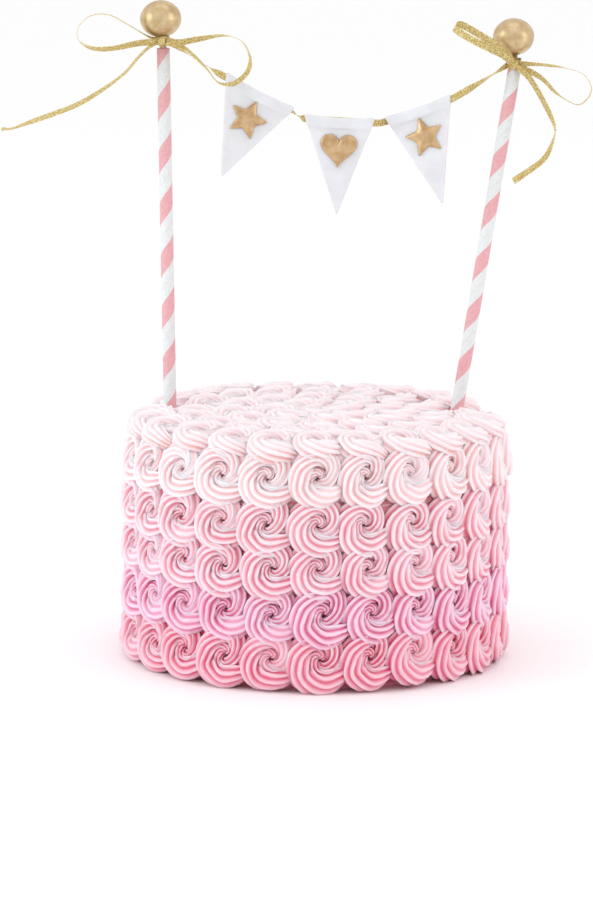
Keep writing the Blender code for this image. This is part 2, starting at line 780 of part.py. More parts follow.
def make_flag(side, topper):
    """A folded pennant: a rounded triangle under a thicker hem, with a slot that the ribbon runs through."""
    finish = material("white_fondant", 0.6)
    facts = FLAGS[side]
    top, half = HEM_H / 2, facts["width"] / 2
    corners = [(-half, top - 0.0012), (facts["tip"], top - facts["height"]), (half, top - 0.0012)]
    plate = outline(f"flag_{side}", rounded(corners, 0.0009, 2), FLAG_T, 0.0004, topper)
    upright = Matrix.Rotation(math.pi / 2, 4, "X")
    swing = Matrix.Rotation(-math.radians(facts["swing"]), 4, "X")
    plate.data.transform(swing @ upright)
    bm = bmesh.new()
    bmesh.ops.create_cube(bm, size=1.0, matrix=Matrix.Diagonal((2 * half - 0.0005, HEM_T, HEM_H, 1)))
    bmesh.ops.bevel(bm, geom=bm.edges[:], offset=0.0011, segments=2, profile=0.5, affect="EDGES", material=-1)
    hem = add_object(f"hem {side}", mesh_from(bm, "hem"), topper)
    plate.data.materials.append(finish)
    flag = combine(plate, [hem], "UNION", topper)
    bm = bmesh.new()
    slot_size = (half * 2.6, RIBBON_T + 2 * GAP + 0.0004, RIBBON_W + 2 * GAP)
    bmesh.ops.create_cube(bm, size=1.0, matrix=Matrix.Diagonal((*slot_size, 1)))
    slot = add_object(f"slot {side}", mesh_from(bm, "slot"), topper)
    flag = combine(flag, [slot], "DIFFERENCE", topper)
    flag.matrix_world = flag_frame(side)


def make_emblem(side, topper):
    """A small gold star or heart lying on the front of a flag."""
    if side == "middle":
        points = heart_points(EMBLEM_SIZE)
    else:
        points = star_points(EMBLEM_SIZE * 0.56)
    emblem = outline(f"emblem_{side}", points, EMBLEM_T, 0.0004, topper)
    emblem.data.materials.append(material("gold_fondant", 0.35, 0.7))
    drop = Matrix.Translation((FLAGS[side]["tip"] * 0.3, -EMBLEM_DROP, FLAG_T / 2 + EMBLEM_T / 2 + GAP))
    upright = Matrix.Rotation(math.pi / 2, 4, "X")
    swing = Matrix.Rotation(-math.radians(FLAGS[side]["swing"]), 4, "X")
    emblem.matrix_world = flag_frame(side) @ swing @ upright @ drop


def main():
    clear_scene()
    cake = new_collection("Rosette birthday cake")
    topper = new_collection("Bunting topper")
    make_cake_body(cake)
    make_side_rows(cake)
    make_top_rings(cake)
    for side in STRAWS:
        make_straw(side, topper)
        make_finial(side, topper)
    make_ribbons(topper)
    for side in FLAGS:
        make_flag(side, topper)
        make_emblem(side, topper)


main()
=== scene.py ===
# A round cake covered in piped rosettes, with a small bunting tied between two paper straws.
import math
import random

import bmesh
import bpy
from mathutils import Matrix, Vector, noise


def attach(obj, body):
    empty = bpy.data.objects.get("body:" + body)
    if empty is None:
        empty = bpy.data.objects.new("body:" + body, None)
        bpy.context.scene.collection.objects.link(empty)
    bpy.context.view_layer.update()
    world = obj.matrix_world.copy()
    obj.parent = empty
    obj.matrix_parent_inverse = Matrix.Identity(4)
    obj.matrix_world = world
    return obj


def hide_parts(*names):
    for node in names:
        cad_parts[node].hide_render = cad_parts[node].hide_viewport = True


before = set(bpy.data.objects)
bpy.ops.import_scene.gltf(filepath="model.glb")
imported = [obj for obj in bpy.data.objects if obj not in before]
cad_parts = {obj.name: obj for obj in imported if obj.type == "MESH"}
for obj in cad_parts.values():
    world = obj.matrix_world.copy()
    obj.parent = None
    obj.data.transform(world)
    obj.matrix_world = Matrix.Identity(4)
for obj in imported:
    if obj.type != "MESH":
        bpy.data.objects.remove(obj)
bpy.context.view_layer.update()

scene = bpy.context.scene
mm = 0.001
upward = Vector((0, 0, 1))


# small helpers

def finishPiece(bm, name, material, node):
    # a bmesh becomes a piece that rides on the cake and stands for one of its solids
    mesh = bpy.data.meshes.new(name)
    bm.to_mesh(mesh)
    bm.free()
    mesh.shade_smooth()
    mesh.materials.append(material)
    piece = bpy.data.objects.new(name, mesh)
    scene.collection.objects.link(piece)
    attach(piece, "root")
    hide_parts(node)
    return piece


def faceOut(bm):
    bmesh.ops.recalc_face_normals(bm, faces=bm.faces)
    if bm.calc_volume(signed=True) < 0:
        bmesh.ops.reverse_faces(bm, faces=bm.faces)


def pick(geom, kind):
    return [item for item in geom if isinstance(item, kind)]


def closeEnd(bm, edges):
    cap = bmesh.ops.contextual_create(bm, geom=edges)["faces"]
    bmesh.ops.poke(bm, faces=cap)


def spinProfile(bm, profile, steps, closed):
    # (radius, height) points in metres, spun about Z
    spots = [bm.verts.new((radius, 0, height)) for radius, height in profile]
    onward = spots[1:] + spots[:1] if closed else spots[1:]
    lines = [bm.edges.new(pair) for pair in zip(spots, onward)]
    bmesh.ops.spin(
        bm, geom=spots + lines, cent=(0, 0, 0), axis=upward, angle=math.tau, steps=steps, use_merge=True
    )
    bmesh.ops.remove_doubles(bm, verts=bm.verts, dist=0.001 * mm)


def frameOf(right, up, outward, centre):
    place = Matrix((right, up, outward)).transposed().to_4x4()
    place.translation = centre
    return place


def ease(share):
    share = min(max(share, 0.0), 1.0)
    return share * share * (3 - 2 * share)


def mix(first, last, share):
    return first + (last - first) * share


def alongKeys(keys, share):
    # a value between (share, value) keys, eased from one to the next
    for (s0, v0), (s1, v1) in zip(keys, keys[1:]):
        if share <= s1:
            return mix(v0, v1, ease((share - s0) / (s1 - s0)))
    return keys[-1][1]


def curveBetween(a, b, c, d, t):
    # a smooth way from b to c that a and d lead into and out of
    return b + 0.5 * t * (c - a + t * (2 * a - 5 * b + 4 * c - d + t * (3 * (b - c) + d - a)))


def linear(*channels):
    # a colour given as it looks on a screen, 0 to 255
    shares = [channel / 255 for channel in channels]
    return tuple(share / 12.92 if share < 0.0404 else ((share + 0.055) / 1.055) ** 2.4 for share in shares)


class Shader:
    # a material whose nodes are added by kind, with their inputs given by name

    def __init__(self, name):
        self.material = bpy.data.materials.new(name)
        self.material.use_nodes = True
        self.tree = self.material.node_tree
        self.surface = self.tree.nodes["Principled BSDF"]
        self.place = self.add("TexCoord").outputs["Object"]

    def add(self, kind, settings=None, **inputs):
        node = self.tree.nodes.new("ShaderNode" + kind)
        for key, value in (settings or {}).items():
            setattr(node, key, value)
        for key, value in inputs.items():
            self.feed(node.inputs[key.replace("_", " ")], value)
        return node

    def feed(self, socket, value):
        if isinstance(value, bpy.types.NodeSocket):
            self.tree.links.new(value, socket)
        elif socket.type == "RGBA":
            socket.default_value = (*value, 1.0)
        else:
            socket.default_value = value

    def math(self, operation, first, second=0.0):
        node = self.add("Math", {"operation": operation})
        self.feed(node.inputs[0], first)
        self.feed(node.inputs[1], second)
        return node.outputs[0]

    def blend(self, share, first, second):
        node = self.add("Mix", {"data_type": "RGBA"})
        self.feed(node.inputs[0], share)
        self.feed(node.inputs[6], first)  # 6, 7 and output 2 are the node's colour sockets
        self.feed(node.inputs[7], second)
        return node.outputs[2]

    def tones(self, share, pair):
        return self.blend(share, linear(*pair[0]), linear(*pair[1]))

    def between(self, value, low, high, toLow=0.0, toHigh=1.0):
        node = self.add("MapRange", Value=value, From_Min=low, From_Max=high, To_Min=toLow, To_Max=toHigh)
        return node.outputs[0]

    def cloudy(self, scale, detail):
        return self.add("TexNoise", Vector=self.place, Scale=scale, Detail=detail).outputs["Fac"]

    def wrapped(self, name):
        # across and along the piece, from its own UV map
        uv = self.add("UVMap", {"uv_map": name}).outputs["UV"]
        parts = self.add("SeparateXYZ", Vector=uv).outputs
        return parts["X"], parts["Y"]

    def bumps(self, layers):
        # heights in metres, laid one on another
        normal = None
        for height, depth in layers:
            node = self.add("Bump", Height=height, Distance=depth)
            if normal:
                self.tree.links.new(normal, node.inputs["Normal"])
            normal = node.outputs["Normal"]
        self.tree.links.new(normal, self.surface.inputs["Normal"])

    def set(self, **inputs):
        for key, value in inputs.items():
            self.feed(self.surface.inputs[key.replace("_", " ")], value)


# buttercream

icing = {
    "gloss": (0.36, 0.50),  # roughness, from the wet to the dry specks
    "softness": 0.32,
    "softReach": 1.8 * mm,
    "coat": ((240, 134, 160), (246, 166, 172), (246, 206, 210)),  # at the foot, at the rim and in its smears
    # crest colour, painted groove shade and painted shade of the deep gaps of each row, the lowest first
    "rows": {
        1: ((249, 206, 218), (229, 94, 130), (228, 72, 104)),
        2: ((249, 213, 231), (221, 94, 141), (222, 72, 116)),
        3: ((249, 224, 233), (234, 130, 155), (230, 96, 122)),
        4: ((249, 229, 236), (235, 140, 157), (232, 106, 126)),
        5: ((249, 238, 242), (243, 191, 193), (238, 136, 136)),
        "top": ((249, 237, 240), (244, 218, 222), (240, 180, 174)),
    },
}


def buttercream(name, crest, grooveShade, deepShade):
    # flow holds the share round the nozzle, the metres piped and the depth in a groove, raised low in a swirl
    # and between the swirls; this depth paints shade into the colour
    s = Shader(name)
    flow = s.add("Attribute", {"attribute_name": "flow"}).outputs["Vector"]
    parts = s.add("SeparateXYZ", Vector=flow).outputs
    patches = s.between(s.cloudy(70.0, 3.0), 0.3, 0.7, -0.12, 0.12)
    # painted shade: the colour runs from the crest towards the groove shade as the flow depth grows, with
    # random patches
    depth = s.math("ADD", s.between(parts["Z"], 0.2, 1.15), patches)
    colour = s.tones(depth, (crest, grooveShade))
    # painted shade: deepest in the gaps between swirls and low in their hollows
    colour = s.blend(s.between(parts["Z"], 0.95, 1.5), colour, linear(*deepShade))
    around = s.math("MULTIPLY", parts["X"], 46.0)
    onward = s.math("MULTIPLY", parts["Y"], 180.0)
    streaks = s.add("CombineXYZ", X=around, Y=onward).outputs[0]
    drag = s.add("TexNoise", Vector=streaks, Scale=1.0, Detail=3.0).outputs["Fac"]
    grain = s.cloudy(1500.0, 2.0)
    pits = s.add("TexVoronoi", Vector=s.place, Scale=420.0).outputs["Distance"]
    s.bumps([(drag, 0.35 * mm), (grain, 0.10 * mm), (s.between(pits, 0.0, 0.22), 0.10 * mm)])
    s.set(Base_Color=colour, Roughness=s.between(grain, 0.3, 0.7, *icing["gloss"]))
    s.set(Subsurface_Weight=icing["softness"], Subsurface_Scale=icing["softReach"])
    s.set(Subsurface_Radius=(1.0, 0.55, 0.5), Specular_IOR_Level=0.45)
    return s.material


def coat(name):
    # the smooth coat under the rosettes, deeper towards the bottom
    s = Shader(name)
    height = s.add("SeparateXYZ", Vector=s.place).outputs["Z"]
    smear = s.cloudy(120.0, 4.0)
    colour = s.tones(s.between(height, 0.0, 0.1), icing["coat"][:2])
    colour = s.blend(s.between(smear, 0.3, 0.7, 0.0, 0.25), colour, linear(*icing["coat"][2]))
    s.bumps([(smear, 0.5 * mm)])
    s.set(Base_Color=colour, Roughness=0.55, Subsurface_Weight=0.15, Subsurface_Scale=2 * mm)
    return s.material


# one piped swirl

swirl = {
    "lobes": 9,
    "reach": (1.0, 0.87, 0.70, 0.70, 0.87),  # from crest to groove and back, of the nozzle's star
    "stepsPerStop": 4,
    # where the nozzle goes, in mm: right, up, half width, half height, middle above the cake, and its twist
    "stops": [
        (1.0, 0.7, 2.3, 2.6, 4.5, 170),
        (1.7, 2.4, 2.6, 3.2, 4.8, 145),
        (-0.2, 3.6, 2.6, 3.3, 4.9, 118),
        (-2.3, 2.2, 2.8, 3.6, 5.0, 92),
        (-2.8, -0.6, 3.1, 4.0, 5.1, 68),
        (-0.9, -2.9, 3.5, 4.5, 5.2, 46),
        (2.4, -3.1, 3.7, 4.9, 5.3, 28),
        (5.3, -1.1, 3.8, 5.1, 5.3, 12),
        (6.8, 2.2, 3.9, 5.2, 5.3, -3),
        (6.5, 5.8, 4.2, 5.4, 5.3, -18),
        (4.0, 8.7, 4.4, 5.6, 5.4, -36),
        (-0.4, 9.8, 4.4, 5.8, 5.5, -56),
        (-4.8, 7.9, 4.6, 5.9, 5.7, -76),
        (-7.6, 3.8, 5.2, 5.9, 5.8, -97),
        (-8.0, -0.8, 5.6, 6.0, 5.9, -118),
        (-6.5, -4.7, 5.9, 6.0, 6.0, -140),
        (-2.9, -7.0, 6.1, 6.0, 6.0, -163),
        (1.7, -7.3, 6.1, 5.9, 6.0, -186),
        (6.5, -5.5, 5.3, 5.5, 5.5, -206),
        (10.4, -3.2, 3.6, 4.5, 4.5, -224),
        (13.6, -1.0, 2.0, 2.8, 3.0, -240),
    ],
    "unsteady": (0.08, 0.08, 0.1, 0.1, 0.15, 4.0),  # how far a stop strays
    "sway": 1.3,  # mm, the slow sway of the hand
    "swell": 0.08,  # how far the cream's thickness wanders
    "bob": 0.06,  # and its height
    "half": 11 * mm,  # from a swirl's middle to its edge
    "roughness": 0.25 * mm,
    "shade": 10.0 * mm,  # below this height in a swirl, painted shade deepens the colour
    "paintedShadeBy": 0.9,
    "smear": 0.75,  # how much of a groove fills where the cream has smoothed itself
    "smearReach": 0.93,  # where the smoothed cream ends up, against the crests
    # how much painted groove shade the smoothed cream loses
    "smearLessShade": 0.35,
    "variants": 6,
}


def betweenStops(stops, share):
    # smooth values on the way from stop to stop
    last = len(stops) - 1
    place = min(share * last, last - 0.0001)
    number = int(place)
    near = (stops[min(max(number + step, 0), last)] for step in (-1, 0, 1, 2))
    return [curveBetween(*values, place - number) for values in zip(*near)]


def starAt(stops, share, wander):
    # where the nozzle's star stands, how large and how far turned, as one matrix
    right, up, wide, high, rise, twist = betweenStops(stops, share)
    back = betweenStops(stops, max(share - 0.01, 0.0))
    on = betweenStops(stops, min(share + 0.01, 1.0))
    ahead = Vector((on[0] - back[0], on[1] - back[1], 0)).normalized()
    aside = Vector((ahead.y, -ahead.x, 0))
    right += swirl["sway"] * wander(share, 0)
    up += swirl["sway"] * wander(share, 1)
    grow = 1 + swirl["swell"] * wander(share, 2)
    rise *= 1 + swirl["bob"] * wander(share, 3)
    place = frameOf(aside, upward, ahead, Vector((right, up, rise)) * mm)
    size = Matrix.Diagonal((wide * grow * mm, high * grow * mm, mm, 1))
    return place @ size @ Matrix.Rotation(math.radians(twist), 4, "Z")


def nozzleStar(bm, flow):
    # the nozzle's outline, which knows how deep in a groove each of its points is, for the painted groove
    # shade
    reaches = swirl["reach"]
    points = swirl["lobes"] * len(reaches)
    ring = bmesh.ops.create_circle(bm, segments=points, radius=1.0)["verts"]
    for number, vertex in enumerate(ring):
        reach = reaches[number % len(reaches)]
        vertex.co *= reach
        vertex[flow] = (number / points, 0.0, (1.0 - reach) / (1.0 - min(reaches)))
    return ring


def smoothGrooves(smears, flow):
    # the grooves fill where the cream has smoothed itself, and their painted shade lessens there
    deepest = 1.0 - min(swirl["reach"])
    for ring, centre, smear in smears:
        for vertex in ring:
            low = vertex[flow].z
            filled = swirl["smearReach"] / (1.0 - low * deepest)
            vertex.co = centre + (vertex.co - centre) * mix(1.0, filled, smear * low)
            vertex[flow].z = low * (1 - swirl["smearLessShade"] * smear)


def pipeSwirl(seed):
    # the star is carried from the curl in the middle once round and out to the tail
    chance = random.Random(seed)
    shift = Vector((chance.uniform(0, 50), chance.uniform(0, 50), 0))
    stops = [
        tuple(value + chance.uniform(-1, 1) * stray for value, stray in zip(stop, swirl["unsteady"]))
        for stop in swirl["stops"]
    ]

    def wander(share, line):
        return noise.noise(shift + Vector((share * 4.0, line * 7.3, 0)))

    bm = bmesh.new()
    flow = bm.verts.layers.float_vector.new("flow")
    ring = nozzleStar(bm, flow)
    edges = list(bm.edges)
    before = starAt(stops, 0, wander)
    bmesh.ops.transform(bm, matrix=before, verts=ring)
    closeEnd(bm, edges)
    travelled = 0.0
    smears = []
    steps = swirl["stepsPerStop"] * (len(stops) - 1)
    for step in range(1, steps + 1):
        share = step / steps
        here = starAt(stops, share, wander)
        drawn = bmesh.ops.extrude_edge_only(bm, edges=edges)["geom"]
        edges = pick(drawn, bmesh.types.BMEdge)
        ring = pick(drawn, bmesh.types.BMVert)
        bmesh.ops.transform(bm, matrix=here @ before.inverted(), verts=ring)
        travelled += (here.translation - before.translation).length
        for vertex in ring:
            vertex[flow].y = travelled
        # by patches along the way, and always in the curl at the start
        smooth = max(ease(0.15 + 1.6 * wander(share * 0.7, 5)), 0.7 * ease(1 - share / 0.25))
        smears.append((ring, here.translation, swirl["smear"] * smooth))
        before = here
    smoothGrooves(smears, flow)
    closeEnd(bm, edges)
    faceOut(bm)
    for vertex in bm.verts:
        vertex.co += vertex.normal * swirl["roughness"] * noise.noise(vertex.co * 420 + shift)
        # painted shade: the colour deepens low in a swirl, where its hollows lie
        vertex[flow].z += swirl["paintedShadeBy"] * ease((swirl["shade"] - vertex.co.z) / swirl["shade"])
    mesh = bpy.data.meshes.new(f"swirl {seed}")
    bm.to_mesh(mesh)
    bm.free()
    return mesh


def bentOver(mesh, radius):
    # a copy that follows the cake's round side
    bent = mesh.copy()
    for vertex in bent.vertices:
        vertex.co.z -= vertex.co.x ** 2 / (2 * radius)
    return bent


# rows and rings of swirls

cake = {
    "radius": 76.2 * mm,
    "height": 103 * mm,
    "perRow": 24,
    # middle above the floor in mm, size, and turn in degrees, the lowest first
    "rows": [(13.6, 1.09, 1.5), (34.4, 1.06, 2.0), (54.5, 1.03, 0.8), (74.1, 1.03, -0.3), (94.5, 1.02, -0.3)],
    # radius in mm, count, and turn in degrees, the outermost first
    "rings": [(74.8, 24, 0.6), (55.3, 17, 9.0), (36.8, 12, 3.0), (18.3, 6, 20.0)],
    "topSize": 0.90,
    "middleSize": 0.72,
    "middleTurn": 0.4,  # radians
    "stray": 0.7,  # mm, how far a swirl of a row is off its place
    "topStray": 0.6,
    "spread": 9.0,  # degrees, how far it is turned at random
    "topSpread": 22.0,
    "lean": 6.0,  # degrees; lifts each swirl's left and lower edge over its neighbours
    "topLean": 4.8,
    "leanBack": 5.0,  # the highest row faces a little upwards
    "rimTilt": 14.0,  # the outermost ring faces a little outwards
    "topFlatness": 0.92,
    # a swirl before a straw's foot lies flatter, wholly when this near and not when this far, in mm
    "dip": {"flatness": 0.56, "near": 7.0, "far": 19.0},
    # the cream behind the swirls, in mm: radii and heights of a row's band, then a ring's against its middle
    "rowBand": {
        "inner": 76.5, "waist": 80.4, "edge": 82.4, "foot": 79.0,
        "half": 11.4, "low": 0.8, "high": 103.0,
    },
    "ringBand": {"inward": 9.8, "outward": 8.0, "shoulder": 6.5, "low": 103.3, "high": 107.0},
}


def roundCake(angle):
    # to the right and outwards at an angle round the cake, 0 at its front
    return Vector((math.cos(angle), math.sin(angle), 0)), Vector((math.sin(angle), -math.cos(angle), 0))


def underLayer(bm, profile):
    # the cream between the swirls, a band spun round the cake
    spinProfile(bm, [(radius * mm, height * mm) for radius, height in profile], 96, True)
    flow = bm.verts.layers.float_vector["flow"]
    for vertex in bm.verts:
        # painted shade: a flow depth of 1.05 gives this band part of the deep gap shade
        vertex[flow] = (vertex.co.x * 20, vertex.co.y, 1.05)
        vertex.co += vertex.co.normalized() * 0.8 * mm * noise.noise(vertex.co * 130)
    faceOut(bm)


def gather(swirls, places, profile, chance):
    # copies of the swirls in their places, over the band of cream behind them
    bm = bmesh.new()
    bm.verts.layers.float_vector.new("flow")
    if profile:
        underLayer(bm, profile)
    for place in places:
        known = len(bm.verts)
        bm.from_mesh(chance.choice(swirls))
        bm.verts.ensure_lookup_table()
        bmesh.ops.transform(bm, matrix=place, verts=bm.verts[known:])
    for vertex in bm.verts:
        vertex.co.z = max(vertex.co.z, 0.2 * mm)  # nothing sinks into the floor
    return bm


def swirlPose(chance, lean, size, spread):
    # a small random lean, turn and size about a swirl's own middle
    tilt = math.radians(lean + chance.uniform(-2.0, 2.0))
    grow = size * chance.uniform(0.95, 1.05)
    return (
        Matrix.Translation((0, 0, swirl["half"] * math.sin(tilt)))
        @ Matrix.Rotation(tilt, 4, Vector((-1, 1, 0)).normalized())
        @ Matrix.Rotation(math.radians(chance.uniform(-spread, spread)), 4, "Z")
        @ Matrix.Diagonal((grow, grow, 1.0, 1))
    )


def pipeRows(swirls):
    bent = [bentOver(mesh, cake["radius"]) for mesh in swirls]
    band = cake["rowBand"]
    stray = cake["stray"]
    for number, (height, size, turn) in enumerate(cake["rows"]):
        chance = random.Random(100 + number)
        row = number + 1
        places = []
        for column in range(cake["perRow"]):
            right, outward = roundCake(math.radians(turn) + math.tau * column / cake["perRow"])
            centre = outward * cake["radius"] + upward * height * mm
            centre += (right * chance.uniform(-stray, stray) + upward * chance.uniform(-stray, stray)) * mm
            place = frameOf(right, upward, outward, centre)
            if row == len(cake["rows"]):
                place = place @ Matrix.Rotation(math.radians(-cake["leanBack"]), 4, "X")
            places.append(place @ swirlPose(chance, cake["lean"], size, cake["spread"]))
        low = max(height - band["half"], band["low"])
        high = min(height + band["half"], band["high"])
        foot = band["foot"] if row == 1 else band["edge"]
        profile = [(band["inner"], low), (foot, low), (band["waist"], (low + high) / 2)]
        profile += [(band["edge"], high), (band["inner"], high)]
        material = buttercream(f"buttercream row {row}", *icing["rows"][row])
        bm = gather(bent, places, profile, chance)
        finishPiece(bm, f"rosetteRow{row}", material, f"rosettes_row_{row}")
    print("rows piped")


def topPlace(angle, radius, chance, size, tilt):
    right, outward = roundCake(angle)
    stray = cake["topStray"]
    centre = outward * (radius + chance.uniform(-stray, stray)) * mm + upward * cake["height"]
    centre += right * chance.uniform(-stray, stray) * mm
    place = frameOf(right, -outward, upward, centre) @ Matrix.Rotation(math.radians(tilt), 4, "X")
    feet = [Vector((facts["x"], facts["y"] - 4 * mm)) for facts in straw["sides"].values()]
    gap = min((centre.xy - foot).length for foot in feet) / mm
    dip = cake["dip"]
    clear = ease((gap - dip["near"]) / (dip["far"] - dip["near"]))
    flat = cake["topFlatness"] * mix(dip["flatness"], 1.0, clear)
    pose = swirlPose(chance, cake["topLean"], size, cake["topSpread"])
    return place @ Matrix.Diagonal((1, 1, flat, 1)) @ pose


def pipeTop(swirls):
    material = buttercream("buttercream top", *icing["rows"]["top"])
    band = cake["ringBand"]
    for number, (radius, count, turn) in enumerate(cake["rings"]):
        chance = random.Random(200 + number)
        tilt = cake["rimTilt"] if number == 0 else 0
        places = []
        for spot in range(count):
            angle = math.radians(turn) + math.tau * spot / count
            places.append(topPlace(angle, radius, chance, cake["topSize"], tilt))
        inner = radius - band["inward"]
        profile = [(inner, band["low"]), (radius + band["outward"], band["low"])]
        profile += [(radius + band["shoulder"], band["high"]), (inner, band["high"])]
        bm = gather(swirls, places, profile, chance)
        finishPiece(bm, f"rosetteRing{number + 1}", material, f"rosettes_ring_{number + 1}")
    chance = random.Random(300)
    middle = topPlace(cake["middleTurn"], 0.0, chance, cake["middleSize"], 0)
    bm = gather(swirls, [middle], None, chance)
    finishPiece(bm, "rosetteMiddle", material, "rosette_middle")
    print("top piped")


# straws

straw = {
    "length": 197 * mm,
    "radius": 3.0 * mm,
    "wall": 0.45 * mm,
    "icingTop": 112 * mm,
    "stripe": 24 * mm,  # one turn of the stripe, along the straw
    "pinkShare": 0.46,
    "softEdge": 0.012,  # of a turn
    "seamAt": 0.74,
    "white": ((218, 218, 219), (228, 228, 228)),
    "pink": ((220, 157, 162), (228, 172, 176)),
    "lip": 0.12 * mm,
    # the foot at the icing's top, the lean in degrees, and heights along the straw above its foot
    "sides": {
        "left": {"x": -67.7 * mm, "y": 17.5 * mm, "lean": -1.35, "shown": 165.0 * mm, "pinkAt": 141.2 * mm},
        "right": {"x": 65.3 * mm, "y": 17.5 * mm, "lean": 8.50, "shown": 158.7 * mm, "pinkAt": 141.6 * mm},
    },
}


def strawFrame(side):
    facts = straw["sides"][side]
    place = Matrix.Translation((facts["x"], facts["y"], straw["icingTop"]))
    return place @ Matrix.Rotation(math.radians(facts["lean"]), 4, "Y")


def mouthFrame(side):
    return strawFrame(side) @ Matrix.Translation((0, 0, straw["sides"][side]["shown"]))


def wrapUv(bm):
    # u once round the axis, v along it in metres, whole across the seam
    layer = bm.loops.layers.uv.new("wrap")
    for face in bm.faces:
        middle = face.calc_center_median()
        base = math.atan2(middle.x, -middle.y)
        for loop in face.loops:
            spot = loop.vert.co
            angle = math.atan2(spot.x, -spot.y)
            angle += math.tau * round((base - angle) / math.tau)
            loop[layer].uv = (angle / math.tau, spot.z)


def stripedPaper(side):
    s = Shader(f"striped paper {side}")
    around, along = s.wrapped("wrap")
    start = straw["sides"][side]["pinkAt"] / straw["stripe"] - straw["pinkShare"] / 2
    turns = s.math("SUBTRACT", s.math("DIVIDE", along, straw["stripe"]), around)
    phase = s.math("FRACT", s.math("SUBTRACT", turns, start % 1.0 - 1.0))
    rising = s.between(phase, 0.0, straw["softEdge"])
    falling = s.between(phase, straw["pinkShare"], straw["pinkShare"] + straw["softEdge"], 1.0, 0.0)
    fibre = s.cloudy(900.0, 4.0)
    shade = s.between(fibre, 0.35, 0.65)
    white, pink = (s.tones(shade, straw[key]) for key in ("white", "pink"))
    paper = s.blend(s.math("MULTIPLY", rising, falling), white, pink)
    seam = s.math("ABSOLUTE", s.math("SUBTRACT", phase, straw["seamAt"]))
    s.bumps([(fibre, 0.04 * mm), (s.between(seam, 0.0, 0.02), 0.12 * mm)])
    s.set(Base_Color=paper, Roughness=0.55, Specular_IOR_Level=0.4)
    return s.material


def makeStraws():
    outer = straw["radius"]
    inner = outer - straw["wall"]
    lip = straw["lip"]
    for side, facts in straw["sides"].items():
        high = facts["shown"]
        low = high - straw["length"]
        profile = [(outer, high - lip), (outer, low), (inner, low), (inner, high - lip)]
        profile += [(inner + lip, high), (outer - lip, high)]
        bm = bmesh.new()
        spinProfile(bm, profile, 48, True)
        faceOut(bm)
        wrapUv(bm)
        bmesh.ops.transform(bm, matrix=strawFrame(side), verts=bm.verts)
        paper = stripedPaper(side)
        piece = finishPiece(bm, f"paperStraw{side.title()}", paper, f"straw_{side}")
        piece.data.set_sharp_from_angle(angle=math.radians(50))
    print("straws made")


# gold balls on the straws

ball = {
    "radius": 9.4 * mm,
    "halfHeight": 8.45 * mm,
    "arcs": 30,
    "dents": 0.012,
    "neck": 1.6 * mm,
    "peg": 12 * mm,
    "sides": {
        "left": {"neckShown": 4.9 * mm, "bend": -3.85},
        "right": {"neckShown": 6.4 * mm, "bend": -11.1},
    },
    "paint": ((214, 190, 152), (190, 162, 118)),
    "gloss": 0.30,
}


def headFrame(side):
    # at the straw's mouth, up along the bent neck
    return mouthFrame(side) @ Matrix.Rotation(math.radians(ball["sides"][side]["bend"]), 4, "Y")


def lustrePaint(name, tones, gloss):
    s = Shader(name)
    patches = s.cloudy(260.0, 4.0)
    dust = s.cloudy(2600.0, 2.0)
    s.bumps([(patches, 0.05 * mm), (dust, 0.03 * mm)])
    s.set(Base_Color=s.tones(s.between(patches, 0.35, 0.65), tones), Metallic=0.85)
    s.set(Roughness=s.between(dust, 0.3, 0.7, gloss, gloss + 0.12))
    return s.material


def makeBalls():
    paint = lustrePaint("gold lustre paint", ball["paint"], ball["gloss"])
    radius, neck = ball["radius"], ball["neck"]
    sweep = math.pi - math.asin(neck / radius)  # from the top to where the neck joins
    for side, facts in ball["sides"].items():
        foot = facts["neckShown"]
        centre = foot + ball["halfHeight"]
        profile = [(0.0, centre + ball["halfHeight"])]
        for step in range(1, ball["arcs"] + 1):
            angle = step / ball["arcs"] * sweep
            profile.append((radius * math.sin(angle), centre + ball["halfHeight"] * math.cos(angle)))
        profile += [(neck, foot * share) for share in (0.6, 0.3, 0.1, 0.0)]
        profile += [(neck, -ball["peg"]), (0.0, -ball["peg"])]
        bm = bmesh.new()
        spinProfile(bm, profile, 56, False)
        faceOut(bm)
        middle = upward * centre
        bend = Matrix.Rotation(math.radians(facts["bend"]), 4, "Y")
        for vertex in bm.verts:
            if vertex.co.z > foot:
                dented = 1 + ball["dents"] * noise.noise(vertex.co * 160)
                vertex.co = middle + (vertex.co - middle) * dented
            if vertex.co.z > 0.01 * mm:  # the peg stays straight in the straw
                vertex.co = bend @ vertex.co
        bmesh.ops.transform(bm, matrix=mouthFrame(side), verts=bm.verts)
        finishPiece(bm, f"goldBall{side.title()}", paint, f"finial_{side}")
    print("balls made")


# ribbon

